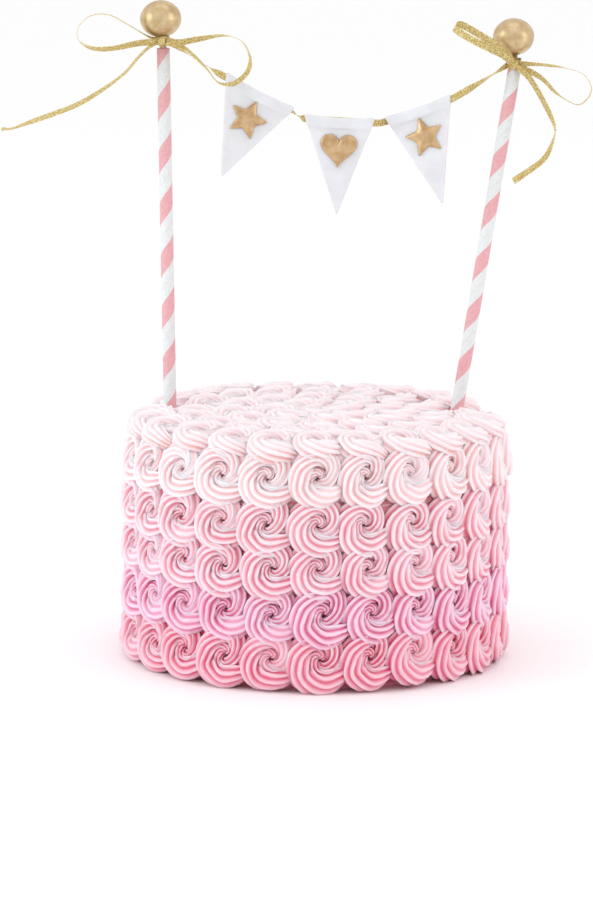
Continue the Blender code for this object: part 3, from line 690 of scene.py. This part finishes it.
ribbon = {
    "width": 3.2 * mm,
    "thickness": 0.26 * mm,
    "threads": 7,  # across it
    "threadStep": 0.55 * mm,
    "tones": ((170, 135, 68), (242, 217, 142)),
    # the colour of the painted glints
    "paintedGlint": (250, 236, 178),
    "knotForward": 4.2 * mm,
    "wrapRadius": 1.9 * mm,  # round the knot
    "wrapTurns": 1.15,
    "bandRadius": 3.1 * mm,  # round the neck
    "loopPoints": 61,
    "tailPoints": 48,
    # in mm from the knot; turns are shares of the way and degrees, 0 where the face is to the front
    "bows": {
        "left": {
            "knotAt": 3.6 * mm,
            "band": (2.3, 1.0),  # turns, and mm that they climb
            "strands": [
                {
                    "through": [
                        (-2.0, 0.2, 0.4), (-6.7, -0.6, 2.1), (-15.4, -1.6, 7.2), (-24.2, -2.6, 11.7),
                        (-32.4, -3.8, 11.2), (-37.8, -4.8, 6.1), (-37.8, -5.4, 0.4), (-31.8, -5.2, -3.3),
                        (-22.4, -4.2, -3.4), (-11.0, -2.4, -1.1), (-2.0, -0.8, -0.3),
                    ],
                    "turns": [(0.0, 66), (0.15, 88), (0.55, 88), (0.78, 44), (1.0, 16)],
                },
                {
                    "through": [
                        (2.0, 0.2, 0.2), (7.7, -1.0, -0.6), (16.0, -2.2, 1.0), (28.2, -4.0, 3.0),
                        (36.5, -6.0, 0.4), (40.2, -7.6, -6.9), (38.8, -8.6, -13.4), (32.8, -8.8, -18.4),
                        (25.7, -8.2, -17.9), (20.1, -6.8, -11.5), (10.6, -3.6, -3.1), (2.0, -1.6, -0.5),
                    ],
                    "turns": [
                        (0.0, 20), (0.15, 30), (0.33, 86), (0.4, 78), (0.52, 52),
                        (0.6, 48), (0.76, 88), (0.88, 70), (1.0, 30),
                    ],
                },
                {
                    "through": [
                        (-1.5, -0.4, -0.4), (-6.6, -0.8, -3.5), (-11.0, -2.0, -7.8), (-17.0, -3.4, -14.7),
                        (-26.4, -5.0, -21.8), (-37.6, -6.0, -28.6), (-48.9, -6.0, -33.2),
                        (-60.3, -5.0, -37.4), (-68.2, -4.2, -40.3), (-72.9, -4.0, -40.6),
                    ],
                    "turns": [(0.0, 66), (0.12, 68), (0.34, 70), (0.55, 52), (0.7, 50), (0.9, 78), (1.0, 70)],
                },
            ],
        },
        "right": {
            "knotAt": 2.5 * mm,
            "band": (2.0, 2.2),
            "strands": [
                {
                    "through": [
                        (-1.0, -0.8, 1.5), (-5.6, -4.4, 7.5), (-12.4, -5.4, 11.3), (-19.6, -6.2, 15.6),
                        (-25.3, -7.4, 18.4), (-27.9, -9.9, 17.4), (-26.3, -12.4, 15.6), (-20.2, -12.2, 12.0),
                        (-13.0, -10.4, 8.4), (-5.6, -7.0, 4.7), (-1.0, -1.8, 0.8),
                    ],
                    "width": (0.51, 0.1, 0.86),  # one way across it throughout, in place of turns
                },
                {
                    "through": [
                        (1.5, 0.2, 0.3), (6.3, -0.4, 0.4), (14.5, -1.4, 0.0), (23.8, -2.6, -1.3),
                        (31.5, -3.8, -4.1), (34.9, -4.6, -10.6), (31.7, -4.8, -16.2), (27.4, -4.4, -17.3),
                        (19.1, -3.2, -12.6), (11.8, -1.8, -5.6), (1.5, -0.8, -0.6),
                    ],
                    "turns": [(0.0, 34), (0.2, 62), (0.33, 88), (0.74, 88), (0.86, 58), (1.0, 26)],
                },
                {
                    "through": [
                        (1.0, -1.2, -1.0), (6.9, -2.0, -6.2), (13.6, -3.6, -17.0), (18.4, -5.0, -27.3),
                        (18.0, -5.6, -33.3), (14.0, -5.6, -42.2), (5.4, -4.8, -49.1), (0.2, -4.2, -52.8),
                    ],
                    "turns": [(0.0, 36), (0.3, 46), (0.52, 84), (0.72, 46), (1.0, 26)],
                },
            ],
        },
    },
}


def goldWeave():
    s = Shader("gold weave")
    across, along = s.wrapped("weave")
    weft = s.math("SINE", s.math("MULTIPLY", across, math.tau * ribbon["threads"]))
    warp = s.math("SINE", s.math("MULTIPLY", along, math.tau / ribbon["threadStep"]))
    weave = s.math("MULTIPLY", weft, warp)
    glints = s.cloudy(1400.0, 2.0)
    tone = s.tones(s.between(weave, -1.0, 1.0), ribbon["tones"])
    # painted highlight: pale glint spots blended into the gold
    colour = s.blend(s.between(glints, 0.45, 0.7), tone, linear(*ribbon["paintedGlint"]))
    s.bumps([(weave, 0.10 * mm), (glints, 0.10 * mm)])
    s.set(Base_Color=colour, Metallic=0.7, Roughness=s.between(glints, 0.35, 0.65, 0.25, 0.45))
    return s.material


def headings(route):
    # the way ahead at every point
    padded = [route[0], *route, route[-1]]
    return [(after - before).normalized() for before, after in zip(padded, padded[2:])]


def layRibbon(bm, route, across):
    # a thin strip with slightly thinner edges, carried along the route
    layer = bm.loops.layers.uv.verify()
    half, thick = ribbon["width"] / 2, ribbon["thickness"] / 2
    section = [(-1.0, -0.6), (-0.5, -1.0), (0.5, -1.0), (1.0, -0.6)]
    section += [(1.0, 0.6), (0.5, 1.0), (-0.5, 1.0), (-1.0, 0.6)]
    rings = [[bm.verts.new(route[0]) for _ in section]]
    edges = [bm.edges.new(pair) for pair in zip(rings[0], rings[0][1:] + rings[0][:1])]
    walls = []
    for _ in route[1:]:
        drawn = bmesh.ops.extrude_edge_only(bm, edges=edges)["geom"]
        edges = pick(drawn, bmesh.types.BMEdge)
        walls += pick(drawn, bmesh.types.BMFace)
        fresh = set(pick(drawn, bmesh.types.BMVert))
        links = {}
        for vertex in rings[-1]:
            around = [edge.other_vert(vertex) for edge in vertex.link_edges]
            links[vertex] = next(other for other in around if other in fresh)
        rings.append([links[vertex] for vertex in rings[-1]])
    travelled = 0.0
    marks = {}
    before = route[0]
    for spot, ahead, broad, ring in zip(route, headings(route), across, rings):
        wide = (broad - ahead * broad.dot(ahead)).normalized()
        up = ahead.cross(wide)
        travelled += (spot - before).length
        before = spot
        for vertex, (u, w) in zip(ring, section):
            vertex.co = spot + wide * half * u + up * thick * w
            marks[vertex] = (0.5 + 0.5 * u, travelled)
    ends = [bm.faces.new(rings[0][::-1]), bm.faces.new(rings[-1])]
    for face in walls + ends:
        for loop in face.loops:
            loop[layer].uv = marks[loop.vert]


def turningAcross(route, turns):
    # 0 turns the ribbon's face to the front, 90 its edge
    across = []
    for number, ahead in enumerate(headings(route)):
        flat = ahead.cross(Vector((0, 1, 0)))
        flat = flat.normalized() if flat.length > 0.05 else upward
        angle = math.radians(alongKeys(turns, number / (len(route) - 1)))
        across.append(Matrix.Rotation(angle, 3, ahead) @ flat)
    return across


def smoothRoute(points, count):
    # through every point
    guide = [points[0] * 2 - points[1], *points, points[-1] * 2 - points[-2]]
    route = []
    for number in range(count):
        spot = number / (count - 1) * (len(points) - 1)
        first = min(int(spot), len(points) - 2)
        route.append(curveBetween(*guide[first:first + 4], spot - first))
    return route


def knotCentre(side):
    return headFrame(side) @ Vector((0, -ribbon["knotForward"], ribbon["bows"][side]["knotAt"]))


def ringRoute(centre, first, second, radius, turns, count, drift):
    # turns about a centre, a little three-cornered, that climb by the drift
    route = []
    for number in range(count):
        share = number / (count - 1)
        angle = math.tau * turns * share
        reach = radius * (1 + 0.06 * math.sin(3 * angle))
        around = first * math.cos(angle) + second * math.sin(angle)
        route.append(centre + around * reach + drift * (share - 0.5))
    return route


def makeBows(weave):
    for side, bow in ribbon["bows"].items():
        bm = bmesh.new()
        bm.loops.layers.uv.new("weave")
        knot = knotCentre(side)
        tail = bow["strands"][-1]
        for strand in bow["strands"]:
            points = [knot + Vector(point) * mm for point in strand["through"]]
            route = smoothRoute(points, ribbon["tailPoints"] if strand is tail else ribbon["loopPoints"])
            if "width" in strand:
                across = [Vector(strand["width"]).normalized()] * len(route)
            else:
                across = turningAcross(route, strand["turns"])
            layRibbon(bm, route, across)
        place = headFrame(side)
        sideways, _, axis = place.to_3x3().col
        forward = Vector((0, -1, 0))
        neck = place @ Vector((0, 0, bow["knotAt"]))
        turns, climb = bow["band"]
        band = ringRoute(neck, sideways, forward, ribbon["bandRadius"], turns, 49, axis * climb * mm)
        layRibbon(bm, band, [axis + sideways * 0.15 * math.sin(number * 0.4) for number in range(len(band))])
        wrap = ringRoute(
            knot, axis, forward, ribbon["wrapRadius"], ribbon["wrapTurns"], 33, sideways * 0.9 * mm
        )
        layRibbon(bm, wrap, [sideways + axis * 0.25] * len(wrap))
        faceOut(bm)
        piece = finishPiece(bm, f"ribbonBow{side.title()}", weave, f"bow_{side}")
        piece.data.set_sharp_from_angle(angle=math.radians(50))
    print("bows tied")


# pennants

pennant = {
    "thickness": 2.0 * mm,
    "above": 2.5 * mm,  # its top over the ribbon
    "corner": 1.7 * mm,
    "round": 0.5 * mm,
    "slices": 14,
    "hemThickness": 3.5 * mm,
    "hemEnd": 7.0 * mm,  # below the top, where the hem has thinned out
    "hemFade": 2.6 * mm,
    "hemCuts": (1.2, 2.4, 3.4, 4.2, 4.9, 5.6, 6.4),
    "ripple": 0.35 * mm,
    "tones": ((223, 223, 228), (216, 216, 219)),
    # middle of the hem and sizes in mm; slope, turn and swing in degrees
    "sides": {
        "left": {
            "middle": (-27.9, 15.5, 256.5), "slope": -27.0, "turn": 3.0, "swing": 6.0,
            "width": 36.0, "height": 44.3, "tip": 1.9, "sag": 1.0,
        },
        "middle": {
            "middle": (9.1, 15.0, 244.9), "slope": -3.0, "turn": 0.0, "swing": 3.0,
            "width": 33.0, "height": 46.0, "tip": 1.5, "sag": 1.2,
        },
        "right": {
            "middle": (45.5, 15.5, 250.1), "slope": 20.3, "turn": -13.0, "swing": 4.0,
            "width": 33.0, "height": 47.1, "tip": -3.1, "sag": 1.0,
        },
    },
    "emblem": {
        "size": 17 * mm,
        "starReach": 0.56,  # of the size, from its middle to a point
        "starWaist": 0.48,  # of its reach
        "corner": 0.8 * mm,
        "drop": 12.5 * mm,
        "paint": ((212, 178, 138), (186, 150, 108)),
        "gloss": 0.28,
        # each step's size against the last, and its height in mm
        "rise": [(1.0, 0.7), (0.97, 1.0), (0.92, 1.25), (0.82, 1.5), (0.7, 1.72), (0.5, 1.9), (0.4, 1.98)],
    },
}


def flagFrame(side):
    facts = pennant["sides"][side]
    return (
        Matrix.Translation(Vector(facts["middle"]) * mm)
        @ Matrix.Rotation(math.radians(facts["turn"]), 4, "Z")
        @ Matrix.Rotation(-math.radians(facts["slope"]), 4, "Y")
    )


def swingOf(side):
    return Matrix.Rotation(-math.radians(pennant["sides"][side]["swing"]), 4, "X")


def sugarPaste():
    s = Shader("white sugar paste")
    mottle = s.cloudy(130.0, 3.0)
    powder = s.cloudy(2200.0, 2.0)
    colour = s.tones(s.between(mottle, 0.35, 0.65), pennant["tones"])
    s.bumps([(mottle, 0.25 * mm), (powder, 0.02 * mm)])
    s.set(Base_Color=colour, Roughness=0.5, Subsurface_Weight=0.25, Subsurface_Scale=2.5 * mm)
    return s.material


def cutAcross(bm, spot, direction):
    # new edges where a plane crosses the piece
    everything = bm.verts[:] + bm.edges[:] + bm.faces[:]
    bmesh.ops.bisect_plane(bm, geom=everything, dist=0.0001 * mm, plane_co=spot, plane_no=direction)


def roundCorners(bm, corners, size, segments):
    bmesh.ops.bevel(
        bm, geom=corners, affect="VERTICES", offset=size, segments=segments, profile=0.5, material=-1
    )


def makeFlag(side, paste):
    facts = pennant["sides"][side]
    wide, tall, thick = facts["width"] * mm, facts["height"] * mm, pennant["thickness"]
    top = pennant["above"]
    bm = bmesh.new()
    outline = ((-wide / 2, 0, top), (wide / 2, 0, top), (facts["tip"] * mm, 0, top - tall))
    corners = [bm.verts.new(spot) for spot in outline]
    bm.faces.new(corners)
    roundCorners(bm, corners, pennant["corner"], 4)
    drawn = bmesh.ops.extrude_face_region(bm, geom=bm.faces[:1])["geom"]
    bmesh.ops.translate(bm, vec=(0, thick, 0), verts=pick(drawn, bmesh.types.BMVert))
    bmesh.ops.translate(bm, vec=(0, -thick / 2, 0), verts=bm.verts)
    faceOut(bm)
    rims = [edge for edge in bm.edges if abs(edge.verts[0].co.y - edge.verts[1].co.y) < thick * 0.1]
    bmesh.ops.bevel(
        bm, geom=rims, affect="EDGES", offset=pennant["round"], segments=4, profile=0.5, material=-1
    )
    for number in range(1, pennant["slices"]):
        share = number / pennant["slices"]
        cutAcross(bm, (wide * (share - 0.5), 0, 0), (1, 0, 0))
        cutAcross(bm, (0, 0, top - tall * share), (0, 0, 1))
    for down in pennant["hemCuts"]:
        cutAcross(bm, (0, 0, top - down * mm), (0, 0, 1))
    fold = pennant["hemThickness"] / thick - 1
    sag = facts["sag"] * mm
    for vertex in bm.verts:
        x, y, z = vertex.co
        hem = ease((pennant["hemEnd"] - (top - z)) / pennant["hemFade"])
        ripple = pennant["ripple"] * noise.noise(Vector((x * 60, side == "left", z * 60)))
        vertex.co.y = y * (1 + fold * hem) + ripple
        vertex.co.z -= sag * (1 - (2 * x / wide) ** 2) * hem
    bmesh.ops.triangulate(bm, faces=bm.faces[:])
    faceOut(bm)
    bmesh.ops.transform(bm, matrix=flagFrame(side) @ swingOf(side), verts=bm.verts)
    finishPiece(bm, f"pennant{side.title()}", paste, f"flag_{side}")


def starOutline(radius, waist):
    points = []
    for number in range(10):
        reach = radius if number % 2 == 0 else radius * waist
        angle = math.pi / 2 + number * math.pi / 5
        points.append(Vector((reach * math.cos(angle), reach * math.sin(angle), 0)))
    return points


def heartOutline(size):
    points = []
    count = 36
    for number in range(count):
        t = math.tau * (number + 0.5) / count
        across = math.sin(t) ** 3
        up = (13 * math.cos(t) - 5 * math.cos(2 * t) - 2 * math.cos(3 * t) - math.cos(4 * t)) / 16
        points.append(Vector((-across * size / 2, up * size / 2, 0)))
    return points


def makeEmblem(side, gold):
    # a flat outline raised in steps towards its middle
    facts = pennant["emblem"]
    bm = bmesh.new()
    if side == "middle":
        bm.faces.new([bm.verts.new(spot) for spot in heartOutline(facts["size"])])
    else:
        outline = starOutline(facts["size"] * facts["starReach"], facts["starWaist"])
        points = [bm.verts.new(spot) for spot in outline]
        bm.faces.new(points)
        roundCorners(bm, points, facts["corner"], 3)
    front = bm.faces[:][0]
    for size, height in facts["rise"]:
        front = bmesh.ops.extrude_discrete_faces(bm, faces=[front])["faces"][0]
        bmesh.ops.scale(bm, vec=(size, size, 1), verts=front.verts[:])
        for vertex in front.verts:
            vertex.co.z = height * mm
    bmesh.ops.poke(bm, faces=[front])
    boundary = [edge for edge in bm.edges if edge.is_boundary]
    bmesh.ops.contextual_create(bm, geom=boundary)
    bmesh.ops.triangulate(bm, faces=bm.faces[:])
    faceOut(bm)
    for vertex in bm.verts:
        vertex.co.z += 0.10 * mm * noise.noise(vertex.co * 500 + upward * len(side))
    aside = pennant["sides"][side]["tip"] * 0.3 * mm
    lift = Matrix.Translation((aside, -facts["drop"], pennant["thickness"] / 2))
    upright = Matrix.Rotation(math.pi / 2, 4, "X")
    bmesh.ops.transform(bm, matrix=flagFrame(side) @ swingOf(side) @ upright @ lift, verts=bm.verts)
    finishPiece(bm, f"emblem{side.title()}", gold, f"emblem_{side}")


def makePennants():
    paste = sugarPaste()
    gold = lustrePaint("gold brushed paste", pennant["emblem"]["paint"], pennant["emblem"]["gloss"])
    for side in pennant["sides"]:
        makeFlag(side, paste)
        makeEmblem(side, gold)
    print("pennants made")


# garland

garland = {
    "leaves": (4.2, 2.6, -1.2),  # mm from the left knot
    "arrives": (-3.0, 2.3, -0.3),  # mm from the right knot
    "sag": 0.3 * mm,  # of each stretch between the hems
    "turns": [
        (0.0, 30), (0.13, 84), (0.26, 84), (0.35, 8), (0.36, 4), (0.41, 84),
        (0.44, 84), (0.5, 2), (0.72, 6), (0.81, 48), (0.9, 76), (1.0, 36),
    ],
}


def slack(first, last):
    steps = 12 if (last - first).length > 10 * mm else 3
    shares = [number / steps for number in range(1, steps)]
    return [first.lerp(last, share) - upward * 4 * garland["sag"] * share * (1 - share) for share in shares]


def makeGarland(weave):
    # through each hem, slack between the hems, and up to the knots
    route = [knotCentre("left") + Vector(garland["leaves"]) * mm]
    for side, facts in pennant["sides"].items():
        half = facts["width"] / 2 * mm
        inlet, outlet = (flagFrame(side) @ Vector((x, 0, 0)) for x in (-half, half))
        route += slack(route[-1], inlet) + [inlet, outlet]
    end = knotCentre("right") + Vector(garland["arrives"]) * mm
    route += slack(route[-1], end) + [end]
    bm = bmesh.new()
    bm.loops.layers.uv.new("weave")
    layRibbon(bm, route, turningAcross(route, garland["turns"]))
    faceOut(bm)
    finishPiece(bm, "garlandRibbon", weave, "garland_ribbon")
    print("garland hung")


# camera, floor and lights

# the lens in mm on a 36 mm sensor, and angles in degrees
view = {"distance": 1800 * mm, "height": 410 * mm, "lens": 159.0, "down": 9.94, "side": -0.28, "roll": 0.6}

studio = {
    "floor": 0.985,  # how pale it is
    "floorHalf": 6.0,
    "aim": (0, 0, 0.12),
    # place, width and height in metres, power and colour
    "boxes": {
        "key box": ((-1.35, -0.5, 0.65), (0.8, 1.0), 5.95, (0.78, 0.96, 1.0)),
        "fill box": ((1.3, -0.6, 0.6), (0.7, 1.0), 2.6, (0.94, 0.98, 1.0)),
        "top box": ((0.0, -0.2, 1.5), (1.2, 1.2), 1.6, (0.94, 0.98, 1.0)),
    },
}


def placeCamera():
    lens = bpy.data.cameras.new("camera")
    lens.sensor_width = 36.0
    lens.lens = view["lens"]
    down, aside, roll = (math.radians(view[key]) for key in ("down", "side", "roll"))
    ahead = Vector((math.sin(aside) * math.cos(down), math.cos(aside) * math.cos(down), -math.sin(down)))
    right = Vector((math.cos(aside), -math.sin(aside), 0))
    up = right.cross(ahead)
    rolledRight = right * math.cos(roll) + up * math.sin(roll)
    rolledUp = up * math.cos(roll) - right * math.sin(roll)
    place = frameOf(rolledRight, rolledUp, -ahead, Vector((0, -view["distance"], view["height"])))
    camera = bpy.data.objects.new("camera", lens)
    scene.collection.objects.link(camera)
    camera.matrix_world = place
    scene.camera = camera


def softbox(name, spot, size, power, colour):
    lamp = bpy.data.lights.new(name, "AREA")
    lamp.shape = "RECTANGLE"
    lamp.size, lamp.size_y = size
    lamp.energy = power
    lamp.color = colour
    box = bpy.data.objects.new(name, lamp)
    scene.collection.objects.link(box)
    direction = Vector(studio["aim"]) - Vector(spot)
    box.matrix_world = Matrix.Translation(spot) @ direction.to_track_quat("-Z", "Y").to_matrix().to_4x4()


def makeStudio():
    bm = bmesh.new()
    bmesh.ops.create_grid(bm, x_segments=1, y_segments=1, size=studio["floorHalf"])
    mesh = bpy.data.meshes.new("floor")
    bm.to_mesh(mesh)
    bm.free()
    floor = bpy.data.objects.new("floor", mesh)
    scene.collection.objects.link(floor)
    paper = Shader("pale floor")
    paper.set(Base_Color=(studio["floor"],) * 3, Roughness=0.7)
    mesh.materials.append(paper.material)
    world = bpy.data.worlds.new("studio")
    scene.world = world
    world.use_nodes = True
    sky = world.node_tree.nodes["Background"]
    sky.inputs["Color"].default_value = (1.0, 1.0, 1.0, 1.0)
    sky.inputs["Strength"].default_value = 1.0
    for name, facts in studio["boxes"].items():
        softbox(name, *facts)
    scene.view_settings.view_transform = "Standard"
    print("studio lit")


placeCamera()
makeStudio()
swirls = [pipeSwirl(seed) for seed in range(swirl["variants"])]
pipeRows(swirls)
pipeTop(swirls)
makeStraws()
makeBalls()
goldRibbon = goldWeave()
makeBows(goldRibbon)
makePennants()
makeGarland(goldRibbon)
bpy.data.objects["cake_body"].material_slots[0].material = coat("pink coat")
